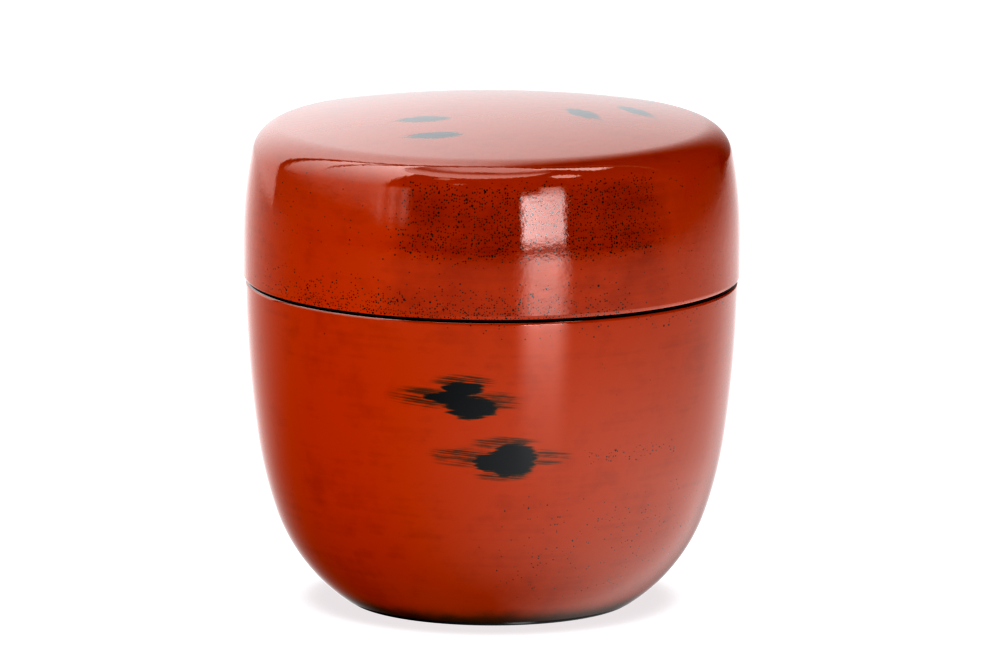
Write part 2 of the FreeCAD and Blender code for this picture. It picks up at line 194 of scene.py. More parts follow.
def body_arcs():
    """The body's outside from the ledge down to the foot."""
    flank = (BELLY_RADIUS - FLANK_RADIUS, FLARE_CENTRE)
    edge_drop = FLARE_CENTRE - SEAM + LEDGE_ROUND
    edge_reach = FLANK_RADIUS - LEDGE_ROUND
    edge = (flank[0] + math.sqrt(edge_reach**2 - edge_drop**2), SEAM - LEDGE_ROUND)
    flank_end = -math.asin((FLARE_CENTRE - FLANK_END) / FLANK_RADIUS)
    hip = Arc(flank, FLANK_RADIUS - HIP_RADIUS, 0.0, 0.0).at(flank_end)
    hip_end = -math.asin((hip[1] - HIP_END) / HIP_RADIUS)
    hip_foot = Arc(hip, HIP_RADIUS, 0.0, 0.0).at(hip_end)
    dx, dz = hip_foot[0] - FOOT_EDGE, hip_foot[1] - COAT_END
    heel_radius = (dx**2 + dz**2) / (2 * (dx * math.cos(hip_end) + dz * math.sin(hip_end)))
    heel = Arc(hip_foot, -heel_radius, 0.0, 0.0).at(hip_end)
    edge_end = direction(flank, edge)
    return [
        Arc(edge, LEDGE_ROUND, math.pi / 2, edge_end),
        Arc(flank, FLANK_RADIUS, edge_end, flank_end),
        Arc(hip, HIP_RADIUS, flank_end, hip_end),
        Arc(heel, heel_radius, hip_end, -math.asin((heel[1] - COAT_END) / heel_radius)),
    ]


def coat(arcs, thickness):
    """A coat of this thickness under an outline, as a closed section."""
    outside = joined(*(arc.points() for arc in arcs))
    inside = joined(*(arc.points(thickness) for arc in arcs))
    inside = [(max(r, 0.0), z) for r, z in inside]
    return outside + inside[::-1]


def foot_section():
    """Black lacquer under the body: the ring that it rests on and the hollow inside that."""
    top = RECESS_DEPTH + LINING
    channel = FOOT_RADIUS - LINING, RECESS_RADIUS + LINING
    return joined(
        [(0.0, RECESS_DEPTH), (RECESS_RADIUS, RECESS_DEPTH)],
        rounded((RECESS_RADIUS + FOOT_ROUND, FOOT_ROUND), FOOT_ROUND, 180),
        rounded((FOOT_RADIUS - FOOT_ROUND, FOOT_ROUND), FOOT_ROUND, 270),
        [(FOOT_RADIUS, FOOT_HEIGHT), (channel[0], FOOT_HEIGHT), (channel[0], LINING)],
        [(channel[1], LINING), (channel[1], top), (0.0, top)],
    )


def cup_wall(growth):
    """The cup's inside from the middle of its floor up to the rebate, made larger by growth."""
    wall = (MOUTH_RADIUS - WALL_RADIUS, REBATE_FLOOR)
    reach = WALL_RADIUS - WELL_ROUND
    well_height = CUP_FLOOR + WELL_ROUND
    well = (wall[0] + math.sqrt(reach**2 - (wall[1] - well_height) ** 2), well_height)
    bend = direction(wall, well)
    return joined(
        [(0.0, CUP_FLOOR - growth)],
        Arc(well, WELL_ROUND, -math.pi / 2, bend).points(-growth),
        Arc(wall, WALL_RADIUS, bend, 0.0).points(-growth),
    )


def cup_section():
    """Black lacquer inside the cup, over the collar and out across the ledge."""
    ledge_radius = body_arcs()[0].centre[0] - BOND_LINE
    ledge_back = SEAM - BLACK_COAT_END
    pocket = MOUTH_RADIUS + LINING, COLLAR_RADIUS - LINING
    shoulder = COLLAR_TOP - COLLAR_ROUND
    return joined(
        cup_wall(0.0),
        rounded((MOUTH_RADIUS + COLLAR_ROUND, shoulder), COLLAR_ROUND, 90)[::-1],
        rounded((COLLAR_RADIUS - COLLAR_ROUND, shoulder), COLLAR_ROUND, 0)[::-1],
        [(COLLAR_RADIUS, SEAM), (ledge_radius, SEAM), (ledge_radius, ledge_back)],
        [(pocket[1], ledge_back), (pocket[1], COLLAR_TOP - LINING), (pocket[0], COLLAR_TOP - LINING)],
        cup_wall(LINING)[::-1],
    )


def lid_hollow(growth):
    """The lid's inside from the middle of its ceiling down its bore, made larger by growth."""
    ceiling = (0.0, CEILING_TOP - CEILING_RADIUS)
    corner_radius = BORE_RADIUS - CEILING_ROUND
    reach = CEILING_RADIUS - CEILING_ROUND
    corner = (corner_radius, ceiling[1] + math.sqrt(reach**2 - corner_radius**2))
    bend = direction(ceiling, corner)
    return joined(
        Arc(ceiling, CEILING_RADIUS, math.pi / 2, bend).points(-growth),
        Arc(corner, CEILING_ROUND, bend, 0.0).points(-growth),
    )


def lid_lining_section():
    """Black lacquer inside the lid and under its lip."""
    flange_top = SEAM + BLACK_COAT_END
    flange_radius = LIP_RADIUS - BOND_LINE
    entry = (BORE_RADIUS + ENTRY_ROUND, SEAM + ENTRY_ROUND)
    return joined(
        lid_hollow(0.0),
        rounded(entry, ENTRY_ROUND, 180),
        [(flange_radius, SEAM), (flange_radius, flange_top), (BORE_RADIUS + LINING, flange_top)],
        lid_hollow(LINING)[::-1],
    )


# ---------------------------------------------------------------- meshes


def turned_point(radius, height):
    """The ring that one point of a section makes, in metres. On the axis it is a single vertex."""
    count = 1 if radius < ON_AXIS else SEGMENTS
    turns = [2 * math.pi * i / SEGMENTS for i in range(count)]
    return [(radius * math.cos(a) * MM, radius * math.sin(a) * MM, height * MM) for a in turns]


def band(start, end):
    """The faces between two rings, each given as its first vertex and its number of vertices."""
    (a, a_count), (b, b_count) = start, end
    steps = [(j, (j + 1) % SEGMENTS) for j in range(SEGMENTS)]
    if a_count == b_count == 1:
        return []
    if a_count == 1:
        return [(a, b + k, b + j) for j, k in steps]
    if b_count == 1:
        return [(a + j, a + k, b) for j, k in steps]
    return [(a + j, a + k, b + k, b + j) for j, k in steps]


def lathe(name, section):
    """A closed section turned about Z."""
    vertices, rings = [], []
    for point in section:
        ring = turned_point(*point)
        rings.append((len(vertices), len(ring)))
        vertices += ring
    faces = [face for start, end in zip(rings, rings[1:] + rings[:1]) for face in band(start, end)]
    mesh = bpy.data.meshes.new(name)
    mesh.from_pydata(vertices, [], faces)
    if signed_area(section) > 0:
        mesh.flip_normals()
    mesh.shade_smooth()
    mesh.set_sharp_from_angle(angle=SHARP_ANGLE)
    return place_in_scene(name, mesh)


def place_in_scene(name, data):
    """A new object in the scene for a mesh or a camera."""
    made = bpy.data.objects.new(name, data)
    bpy.context.scene.collection.objects.link(made)
    return made


def signed_area(section):
    """Twice the section's area, positive where it runs anticlockwise."""
    following = section[1:] + section[:1]
    return sum(a[0] * b[1] - b[0] * a[1] for a, b in zip(section, following))


# ---------------------------------------------------------------- shader arithmetic


class Field:
    """A number that varies over a surface or the sky: a node socket that ordinary arithmetic works on."""

    def __init__(self, graph, socket):
        self.graph, self.socket = graph, socket

    def __add__(self, other):
        return self.graph.math("ADD", self, other)

    __radd__ = __add__

    def __sub__(self, other):
        return self.graph.math("SUBTRACT", self, other)

    def __rsub__(self, other):
        return self.graph.math("SUBTRACT", other, self)

    def __mul__(self, other):
        return self.graph.math("MULTIPLY", self, other)

    __rmul__ = __mul__

    def __truediv__(self, other):
        return self.graph.math("DIVIDE", self, other)

    def __neg__(self):
        return self.graph.math("MULTIPLY", self, -1.0)

    def ramp(self, low, high):
        """0 at low, 1 at high and smooth between. It falls where low is the greater."""
        node = self.graph.node("MapRange", interpolation_type="SMOOTHSTEP")
        self.graph.feed(node.inputs["Value"], self)
        node.inputs["From Min"].default_value = low
        node.inputs["From Max"].default_value = high
        return Field(self.graph, node.outputs["Result"])


class Graph:
    """Builds nodes in a material's or the world's node tree."""

    def __init__(self, tree):
        self.tree = tree
        tree.nodes.clear()

    def node(self, kind, **settings):
        made = self.tree.nodes.new(f"ShaderNode{kind}")
        for key, value in settings.items():
            setattr(made, key, value)
        return made

    def feed(self, socket, value):
        """Links a Field or a socket to an input, or sets a constant there."""
        value = value.socket if isinstance(value, Field) else value
        if isinstance(value, bpy.types.NodeSocket):
            self.tree.links.new(value, socket)
        else:
            socket.default_value = value

    def math(self, operation, *values):
        node = self.node("Math", operation=operation)
        for socket, value in zip(node.inputs, values):
            self.feed(socket, value)
        return Field(self, node.outputs[0])

    def parts(self, vector):
        """A vector's x, y and z."""
        node = self.node("SeparateXYZ")
        self.feed(node.inputs[0], vector)
        return [Field(self, socket) for socket in node.outputs]

    def vector(self, x, y, z):
        node = self.node("CombineXYZ")
        for socket, value in zip(node.inputs, (x, y, z)):
            self.feed(socket, value)
        return node.outputs[0]

    def noise(self, vector, scale, detail, roughness):
        """Smooth noise about 0, mostly within 0.25 of it."""
        node = self.node("TexNoise", noise_dimensions="3D")
        self.feed(node.inputs["Vector"], vector)
        node.inputs["Scale"].default_value = scale
        node.inputs["Detail"].default_value = detail
        node.inputs["Roughness"].default_value = roughness
        return Field(self, node.outputs[0]) - 0.5

    def blend(self, factor, first, second):
        """One number at factor 0 and another at factor 1."""
        node = self.node("Mix", data_type="FLOAT")
        for name, value in (("Factor", factor), ("A", first), ("B", second)):
            self.feed(node.inputs[name], value)
        return Field(self, node.outputs[0])

    def blend_colour(self, factor, first, second):
        """One colour at factor 0 and another at factor 1."""
        node = self.node("Mix", data_type="RGBA")
        colour_sockets = [s for s in node.inputs if s.type == "RGBA"]
        self.feed(node.inputs["Factor"], factor)
        self.feed(colour_sockets[0], first)
        self.feed(colour_sockets[1], second)
        return next(s for s in node.outputs if s.type == "RGBA")

    def greater(self, *values):
        """The greatest of several numbers."""
        found = values[0]
        for value in values[1:]:
            found = self.math("MAXIMUM", found, value)
        return found


# ---------------------------------------------------------------- lacquer

VERMILION = (0.43, 0.054, 0.0025, 1.0)
VERMILION_THIN_AND_SHADE = (0.23, 0.020, 0.0015, 1.0)  # where the coat is thin over the black, and painted shade on the lid's front
BROWN = (0.085, 0.034, 0.009, 1.0)  # thin black over the vermilion, and the darkening step of the painted shade
BLACK = (0.011, 0.013, 0.014, 1.0)
BLACK_WARM = (0.010, 0.006, 0.004, 1.0)
WOOD_PALE = (0.62, 0.44, 0.25, 1.0)
WOOD_DARK = (0.40, 0.24, 0.12, 1.0)
LACQUER_IOR = 1.5

# Noise: scale per millimetre, detail and roughness
SMALL_CLOUDS = 0.32, 4.0, 0.6
LARGE_CLOUDS = 0.09, 2.0, 0.5
LID_PATCHES = 0.22, 3.0, 0.6
BODY_PATCHES = 0.3, 2.0, 0.6
# uneven top edge of the painted shade at the foot
FOOT_SHADE_PATCHES = 0.4, 2.0, 0.5
WARM_PATCHES = 0.25, 3.0, 0.6
POLISH = 0.35, 3.0, 0.6
LONG_WAVES = 0.9, 2.0, 0.45
SHORT_WAVES = 2.6, 1.0, 0.5
GRAIN_BENDS = 0.05, 3.0, 0.5

# Noise drawn out one way: its scales, detail and roughness
BRUSH_BANDS = (0.06, 0.06, 1.3), 3.0, 0.6
WOOD_FIBRES = (5.0, 0.3, 5.0), 4.0, 0.7


class Place:
    """Where a point of the surface is.

    x, y and z are in millimetres, and the angle round from the front is in degrees.
    """

    def __init__(self, graph):
        here = graph.node("TexCoord").outputs["Object"]
        self.x, self.y, self.z = (axis / MM for axis in graph.parts(here))
        self.angle = graph.math("ARCTAN2", self.x, -self.y) / math.radians(1)
        self.solid = graph.vector(self.x, self.y, self.z)
        self.unrolled = graph.vector(self.angle * math.radians(LID_RADIUS), self.z, 0.0)


def lobe(graph, across, along, middle, half):
    """1 at the middle of an ellipse, 0 at its edge and negative outside it."""
    u = (across - middle[0]) / half[0]
    v = (along - middle[1]) / half[1]
    return 1.0 - (u * u + v * v)


# Noise in a stroke: its scales along the stroke and across it, its third coordinate, detail and roughness
FINE_GRAIN = (0.16, 2.6, 3.0), 3.0, 0.65
RAGGED_GRAIN = (0.45, 1.6, 8.0), 3.0, 0.6
BRISTLES = (0.05, 4.2, 5.0), 2.0, 0.6
BRISTLE_SLANT = 0.09
CORE_EDGE = (-0.3, 0.45)  # from where to where a core turns black
VEIL_EDGE = (-0.1, 0.8)
BRISTLE_EDGE = (-0.08, 0.22)
VEIL_BLACK = 0.55  # how black a veil is at most


def brushed(graph, across, along, grain):
    """Noise drawn out along a brush stroke."""
    (length, width, level), detail, roughness = grain
    return graph.noise(graph.vector(across * length, along * width, level), 1.0, detail, roughness)


class Stroke:
    """A black patch with brushed ends: cores of solid black, and wider veils of thin bristle lines."""

    def __init__(self, cores, veils):
        self.cores, self.veils = cores, veils

    def mask(self, graph, across, along):
        """How black the surface is here. The brush moved along the across axis."""
        fine = brushed(graph, across, along, FINE_GRAIN)
        ragged = brushed(graph, across, along, RAGGED_GRAIN)
        lines = brushed(graph, across, along + across * BRISTLE_SLANT, BRISTLES)
        core = graph.greater(*(lobe(graph, across, along, *each) for each in self.cores))
        core = (core + fine * 2.0 + ragged * 0.9).ramp(*CORE_EDGE)
        veil = graph.greater(*(lobe(graph, across, along, *each) for each in self.veils))
        bristles = (lines + ragged * 0.35 + veil * 0.14).ramp(*BRISTLE_EDGE)
        veil = veil.ramp(*VEIL_EDGE) * bristles
        return graph.greater(core, veil * VEIL_BLACK)


# Each lobe is its middle and its half sizes: round the body and up it, or across the crown and back over it
BODY_STROKES = [
    Stroke(
        cores=[
            ((-3.7, 34.3), (2.9, 0.95)),
            ((-5.9, 33.0), (3.2, 0.85)),
            ((-2.6, 31.8), (3.5, 1.6)),
        ],
        veils=[
            ((-8.4, 32.9), (7.0, 1.9)),
            ((0.2, 32.6), (5.0, 1.7)),
            ((-3.6, 35.2), (5.2, 1.3)),
        ],
    ),
    Stroke(
        cores=[
            ((3.2, 25.3), (3.2, 1.7)),
            ((2.9, 23.9), (3.3, 1.6)),
            ((0.6, 24.4), (3.0, 1.4)),
        ],
        veils=[
            ((-3.6, 25.1), (6.6, 1.7)),
            ((1.8, 27.0), (5.8, 1.1)),
            ((1.6, 22.5), (4.8, 0.9)),
            ((7.6, 25.0), (4.6, 1.5)),
        ],
    ),
]

LID_STROKES = [
    Stroke(cores=[((-9.0, -8.6), (3.3, 1.7))], veils=[((-9.4, -8.6), (5.2, 2.1))]),
    Stroke(cores=[((-7.4, -17.5), (3.5, 1.5))], veils=[((-7.8, -17.5), (5.6, 2.0))]),
]
STROKE_TURNS = (0.0, 120.0)  # where round the caddy the strokes are


def body_strokes(graph, place):
    """The body's strokes, at each of their places round it."""
    masks = []
    for turn in STROKE_TURNS:
        angle = graph.math("WRAP", place.angle - turn, 180.0, -180.0)
        across = angle * math.radians(LID_RADIUS)
        masks += [stroke.mask(graph, across, place.z) for stroke in BODY_STROKES]
    return graph.greater(*masks)


def lid_strokes(graph, place):
    """The lid's strokes, at each of their places on its crown."""
    masks = []
    for turn in map(math.radians, STROKE_TURNS):
        across = place.x * math.cos(turn) + place.y * math.sin(turn)
        along = place.y * math.cos(turn) - place.x * math.sin(turn)
        masks += [stroke.mask(graph, across, along) for stroke in LID_STROKES]
    return graph.greater(*masks)


def between(field, low, high, soft):
    """1 between low and high, and 0 outside, with soft edges."""
    return field.ramp(low - soft, low + soft) * field.ramp(high + soft, high - soft)


# Specks: millimetres from one to the next, and their radius
FINE_SPECKS = 0.34, 0.100
COARSE_SPECKS = 0.9, 0.15
COARSE_SHARE = 0.4  # how dense the coarse specks are beside the fine ones
SPECK_BLACK = 0.9
# how black the painted shade at the seam and the foot is at most
PAINTED_SHADE_BLACK = 0.95
MOTTLING = 1.7  # how strongly uneven cover shows

# Where the lacquer is worn and speckled, and where painted shade darkens it. Angles are in degrees round
# from the front: low, high and softness.
# Heights are the same, or where a ramp starts and where it is full.
# the lid's front: dense specks, and painted shade that darkens the vermilion there
LID_FRONT = (-21.0, 40.0, 5.0), (51.5, 61.0, 1.2)
# painted shade: the vermilion darkened over the lid's front, where the dark room is reflected
LID_FRONT_SHADE = (-24.0, 42.0, 8.0), (62.0, 58.5)
LID_EDGE = (-55.0, 28.0, 14.0), (48.8, 43.6)
LID_SIDE = (63.5, 60.5)
# painted shade: a black band along the lid's lip at the seam, for the dark groove between lid and body
LID_SEAM_SHADE = (SEAM + 0.3, SEAM + 0.12)
BODY_DOTS = (24.0, 50.0, 4.0), (23.6, 25.4, 0.5)
BODY_RIM = (-10.0, 75.0, 15.0), (39.5, 42.8)
BODY_LOW = (5.0, 70.0, 12.0), (6.0, 18.0, 4.0)
# painted shade: the vermilion darkens towards the foot, where the floor's contact shadow falls
BODY_FOOT_SHADE = (3.8, 0.4)
# painted shade: a black band along the body's ledge at the seam
BODY_SEAM_SHADE = (SEAM - 0.34, SEAM - 0.16)
# how dark that painted shade at the foot is, and how unevenly it ends
FOOT_SHADE_DARKNESS = 0.62
FOOT_SHADE_UNEVEN = 1.2
SPECK_EDGE = (1.15, 0.75)  # how far out from its middle a speck ends, over its radius


def specks(graph, place, density, spacing, size):
    """Black specks in the vermilion, one in each cell where the density passes a random number."""
    cells = graph.node("TexVoronoi", voronoi_dimensions="2D", feature="F1")
    graph.feed(cells.inputs["Vector"], place.unrolled)
    cells.inputs["Scale"].default_value = 1 / spacing
    chance, girth, _ = graph.parts(cells.outputs["Color"])
    radius = (girth * 0.6 + 0.5) * (size / spacing)
    reach = Field(graph, cells.outputs["Distance"]) / radius
    return reach.ramp(*SPECK_EDGE) * (density - chance).ramp(0.0, 0.02)


def zone(place, angles, heights):
    """1 in a part of the surface, and 0 outside it."""
    up = between(place.z, *heights) if len(heights) == 3 else place.z.ramp(*heights)
    return between(place.angle, *angles) * up


def lid_wear_and_shade(graph, place):
    """Painted shade that darkens the lid's vermilion over its front, how dense its black specks are, and
    painted shade in a black band along the lip's lower edge at the seam.
    """
    patchy = graph.noise(place.solid, *LID_PATCHES)
    front, edge = zone(place, *LID_FRONT), zone(place, *LID_EDGE)
    side = place.z.ramp(*LID_SIDE)
    # painted shade: the lid's front darkened, standing in for the dark room's reflection
    thin_and_shade = zone(place, *LID_FRONT_SHADE) * 0.28 + front * 0.3
    density = front * (0.52 + patchy * 1.2) + edge * (0.6 + patchy * 0.9) + side * 0.03
    # painted shade: black along the lip's lower edge at the seam
    return thin_and_shade, density, place.z.ramp(*LID_SEAM_SHADE)


def body_wear_and_shade(graph, place):
    """The same for the body, which has only a few specks, with painted shade: black along its ledge at the
    seam and a darkening at its foot near the floor.
    """
    patchy = graph.noise(place.solid, *BODY_PATCHES)
    dots, rim, low = (zone(place, *part) for part in (BODY_DOTS, BODY_RIM, BODY_LOW))
    density = dots * 0.3 + rim * 0.10 + low * 0.08 + patchy.ramp(0.0, 0.3) * 0.03
    # painted shade at the foot, darker towards the floor, with an uneven top edge
    uneven = graph.noise(place.solid, *FOOT_SHADE_PATCHES)
    heel = (place.z + uneven * FOOT_SHADE_UNEVEN).ramp(*BODY_FOOT_SHADE) * FOOT_SHADE_DARKNESS
    # painted shade: black along the ledge at the seam, with the painted shade at the foot
    return patchy * 0.15, density, graph.greater(place.z.ramp(*BODY_SEAM_SHADE), heel)


def surface(graph, colour, roughness, height, relief):
    """A surface of this colour and roughness. Its height field stands up by the relief in millimetres."""
    shader = graph.node("BsdfPrincipled")
    graph.feed(shader.inputs["Base Color"], colour)
    graph.feed(shader.inputs["Roughness"], roughness)
    bump = graph.node("Bump")
    bump.inputs["Strength"].default_value = 1.0
    bump.inputs["Distance"].default_value = relief * MM
    graph.feed(bump.inputs["Height"], height)
    graph.feed(shader.inputs["Normal"], bump.outputs[0])
    graph.feed(graph.node("OutputMaterial").inputs["Surface"], shader.outputs[0])
    return shader


def lacquer_surface(graph, place, colour, roughness, ripple):
    """A glossy lacquer surface with an uneven polish and the faint ripple of a brushed coat."""
    polish = graph.noise(place.solid, *POLISH)
    waves = graph.noise(place.solid, *LONG_WAVES) + graph.noise(place.solid, *SHORT_WAVES) * 0.30
    shader = surface(graph, colour, polish * (roughness * 0.5) + roughness, waves, ripple)
    shader.inputs["IOR"].default_value = LACQUER_IOR


def new_material(name):
    material = bpy.data.materials.new(name)
    material.use_nodes = True
    return material, Graph(material.node_tree)


def drawn_out(graph, place, scales, detail, roughness):
    """Noise with a scale of its own along each axis."""
    x, y, z = scales
    scaled = graph.vector(place.x * x, place.y * y, place.z * z)
    return graph.noise(scaled, 1.0, detail, roughness)


def mottle(graph, place):
    """How unevenly the vermilion covers: small clouds, large ones, and level bands left by the brush."""
    small = graph.noise(place.solid, *SMALL_CLOUDS) * 0.5
    large = graph.noise(place.solid, *LARGE_CLOUDS) * 0.35
    return small + large + drawn_out(graph, place, *BRUSH_BANDS) * 0.3


def vermilion(name, strokes, wear_and_shade, roughness, ripple):
    """Vermilion lacquer over black, with brushed black patches and specks where the black comes through,
    and painted shade: a darker lid front, black along the seam and darkening at the foot.
    """
    material, graph = new_material(name)
    place = Place(graph)
    thin_and_shade, density, painted_shade = wear_and_shade(graph, place)
    # the tone holds the painted shade on the lid's front as well as the uneven cover
    tone = graph.greater(thin_and_shade + mottle(graph, place) * MOTTLING, 0.0)
    colour = graph.blend_colour(tone, VERMILION, VERMILION_THIN_AND_SHADE)
    fine = specks(graph, place, density, *FINE_SPECKS)
    coarse = specks(graph, place, density * COARSE_SHARE, *COARSE_SPECKS)
    dots = graph.greater(fine, coarse)
    # the painted shade at the seam and the foot joins the black marks here
    black_and_shade = graph.greater(strokes(graph, place), dots * SPECK_BLACK, painted_shade * PAINTED_SHADE_BLACK)
    colour = graph.blend_colour(black_and_shade.ramp(0.0, 0.7), colour, BROWN)
    colour = graph.blend_colour(black_and_shade.ramp(0.3, 1.0), colour, BLACK)
    lacquer_surface(graph, place, colour, roughness, ripple)
    return material


def black_lacquer(name, roughness, ripple):
    """Black lacquer, a little warmer in patches."""
    material, graph = new_material(name)
    place = Place(graph)
    warmth = graph.noise(place.solid, *WARM_PATCHES).ramp(-0.2, 0.3)
    colour = graph.blend_colour(warmth, BLACK, BLACK_WARM)
    lacquer_surface(graph, place, colour, roughness, ripple)
    return material


def turned_wood(name):
    """Pale turned wood: growth rings, fine pores and the marks of the turning tool."""
    material, graph = new_material(name)
    place = Place(graph)
    bend = graph.noise(place.solid, *GRAIN_BENDS)
    rings = graph.math("SINE", (place.x + bend * 14.0) * 3.2 + bend * 9.0) * 0.35 + 0.5
    fibres = drawn_out(graph, place, *WOOD_FIBRES)
    colour = graph.blend_colour((rings + fibres).ramp(0.0, 1.0), WOOD_PALE, WOOD_DARK)
    tool_marks = graph.math("SINE", place.z * 9.0) * 0.3
    surface(graph, colour, fibres * 0.3 + 0.62, fibres + tool_marks, relief=0.01)
    return material


# ---------------------------------------------------------------- pieces


def make_piece(name, section, material, body, node):
    """A turned piece that stands for a CAD node."""
    piece = lathe(name, section)
    piece.data.materials.append(material)
    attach(piece, body)
    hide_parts(node)


def paint(node, material):
    """Gives a CAD node that stays as it is its material."""
    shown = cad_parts[node]
    shown.data.materials.clear()
    shown.data.materials.append(material)


def make_caddy():
    lid_red = vermilion("vermilion_lid", lid_strokes, lid_wear_and_shade, roughness=0.045, ripple=0.013)
    body_red = vermilion("vermilion_body", body_strokes, body_wear_and_shade, roughness=0.07, ripple=0.0015)
    lining = black_lacquer("black_lining", roughness=0.14, ripple=0.003)
    foundation = black_lacquer("black_foundation", roughness=0.35, ripple=0.004)
    wood = turned_wood("turned_wood")
    lid_coat, body_coat = coat(lid_arcs(), RED_COAT), coat(body_arcs(), RED_COAT)
    make_piece("lid_lacquer", lid_coat, lid_red, "caddy_lid", "lid_red_coat")
    make_piece("body_lacquer", body_coat, body_red, "caddy_body", "body_red_coat")
    make_piece("lid_inside", lid_lining_section(), lining, "caddy_lid", "lid_lining")
    make_piece("cup_inside", cup_section(), lining, "caddy_body", "body_lining")
    make_piece("foot", foot_section(), lining, "caddy_body", "foot_coat")
    for node in ("lid_black_coat", "body_black_coat"):
        paint(node, foundation)
    for node in ("lid_core", "body_core", "collar_ring"):
        paint(node, wood)


# ---------------------------------------------------------------- studio

AMBIENT = 0.38  # what lights matt surfaces from the sides
AMBIENT_ABOVE = 0.75  # and from overhead
AMBIENT_RISE = (30.0, 65.0)  # degrees up where it goes from one to the other
AMBIENT_HIGH = 1.1  # and more from high in front and on the right
HIGH_PART = (-30.0, 160.0), (38.0, 80.0), (15.0, 8.0)  # that part's azimuths, elevations and softness
BACKDROP = 1.3  # what the camera sees behind the caddy
LIGHT_TINT = (0.98, 1.0, 1.02, 1.0)

# Panels: azimuths, elevations, softness across and up, and strength
DARK_CORNER = (100.0, 150.0), (-1.0, 62.0), (8.0, 4.0), 0.02
RIGHT_LAMP = (80.0, 99.0), (57.0, 80.0), (2.0, 2.0), 9.0
CEILING_BEAM = (-25.0, 8.0), (73.2, 76.4), (6.0, 0.8), 0.4
HIGH_PANE = (24.0, 34.5), (8.0, 22.0), (2.5, 4.0), 6.0

# Round lights: azimuth, elevation, radius, softness and strength
RIGHT_SPOT = 48.0, 52.5, 5.5, 1.2, 8.0
LEFT_SPOT = -29.0, 48.5, 3.2, 1.2, 4.0
LOW_SPOT = -17.5, 34.0, 2.4, 1.5, 3.0

# The same for what has a strength that varies, or that is given where it is used
BACK_WALL = (138.0, 237.0), (-30.0, 89.0), (1.2, 2.0)
LEFT_SCREEN = (-117.0, -53.0), (4.0, 86.0), (2.0, 3.0)
HAZY_WINDOW = (-58.0, -39.0), (2.5, 14.0), (2.6, 3.5)
WINDOW = (14.2, 34.4), (-2.2, 11.5), (1.6, 3.0)
OVERHEAD = -20.0, 75.5, 22.3, 0.8

TABLE_MIDDLE = 82.0  # azimuth that the table is brightest towards
TABLE_LIGHT = 3.05
TABLE_EDGE = -3.8  # elevation of the dark line along the table's far edge
TABLE_EDGE_WIDTH = 1.3
TABLE_HORIZON = (-5.0, -2.4)  # elevations between which the table gives way to the room
TABLE_GLEAM = 24.6  # azimuth of the window's reflection in the table
WALL_TOP = (4.8, 4.0)  # slopes between which the back wall ends
LEFT_LIGHT = (0.5, 9.5)  # the left screen's strength at the horizon and 60 degrees up
WALL_LIGHT = (1.25, 3.7)
WINDOW_LIGHT = 14.2


class Sky:
    """The studio round the caddy by direction, in degrees of azimuth and elevation.

    Azimuth is 0 towards the front and + to the right.
    """

    def __init__(self, graph):
        self.graph = graph
        self.ray = graph.node("TexCoord").outputs["Generated"]
        x, y, z = graph.parts(self.ray)
        self.azimuth = graph.math("ARCTAN2", x, -y) / math.radians(1)
        self.elevation = graph.math("ARCSINE", z) / math.radians(1)
        self.slope_behind = z / graph.greater(y, 0.01)  # constant along a level edge behind

    def beside(self, middle):
        """Angle from an azimuth, + to the right of it."""
        return self.graph.math("WRAP", self.azimuth - middle, 180.0, -180.0)

    def off(self, middle):
        """Angle from an azimuth, to either side."""
        return self.graph.math("ABSOLUTE", self.beside(middle))

    def panel(self, azimuth, elevation, soft):
        """1 inside a panel, given as its two azimuths and two elevations, with soft edges."""
        middle, half = (azimuth[0] + azimuth[1]) / 2, (azimuth[1] - azimuth[0]) / 2
        upright = between(self.elevation, *elevation, soft[1])
        return self.off(middle).ramp(half + soft[0], half - soft[0]) * upright

    def cap(self, azimuth, elevation, radius, soft):
        """1 inside a round patch of sky, given as its middle and angular radius."""
        a, e = math.radians(azimuth), math.radians(elevation)
        dot = self.graph.node("VectorMath", operation="DOT_PRODUCT")
        self.graph.feed(dot.inputs[0], self.ray)
        dot.inputs[1].default_value = (math.sin(a) * math.cos(e), -math.cos(a) * math.cos(e), math.sin(e))
        apart = self.graph.math("ARCCOSINE", Field(self.graph, dot.outputs["Value"])) / math.radians(1)
        return apart.ramp(radius + soft, radius - soft)

    def bell(self, offset, width):
        """A soft bump that falls off with an angle."""
        u = offset / width
        return self.graph.math("EXPONENT", -(u * u))

    def rise(self, low, high):
        """A number that goes from one value at the horizon to another at 60 degrees up."""
        return self.elevation * ((high - low) / 60.0) + low


def table_light(sky):
    """What the lower half of the studio sends up: the pale table, brighter to the right."""
    nearer = sky.bell(sky.off(150.0), 32.0) * 3.0
    deep = (sky.elevation - nearer).ramp(-3.0, -26.0) * sky.elevation.ramp(-98.0, -42.0)
    far_end = sky.beside(TABLE_MIDDLE).ramp(100.0, 58.0)
    bright = sky.off(TABLE_MIDDLE).ramp(165.0, -5.0) * deep * far_end * TABLE_LIGHT
    veil = sky.bell(sky.elevation + 8.5, 6.0) * sky.off(60.0).ramp(160.0, 100.0) * 0.55
    width = sky.graph.blend(sky.elevation.ramp(-20.0, -12.0), 33.0, 43.0)
    behind = sky.bell(sky.off(-163.0), width) * sky.bell(sky.elevation + 4.0, 20.0) * 1.65
    nadir = sky.elevation.ramp(-45.0, -80.0) * 0.25
    gleam = sky.off(TABLE_GLEAM).ramp(15.0, 4.0) * sky.bell(sky.elevation + 4.0, 12.0) * 8.4
    return bright + veil + behind + nadir + gleam


def back_wall(sky):
    """A pale wall behind, brighter upwards and to its left, that ends at a level top."""
    across = sky.beside(180.0)
    mask = sky.panel(*BACK_WALL) * sky.slope_behind.ramp(*WALL_TOP)
    return mask, sky.rise(*WALL_LIGHT) * across.ramp(-38.0, 8.0) * (across * 0.0125 + 1.12)


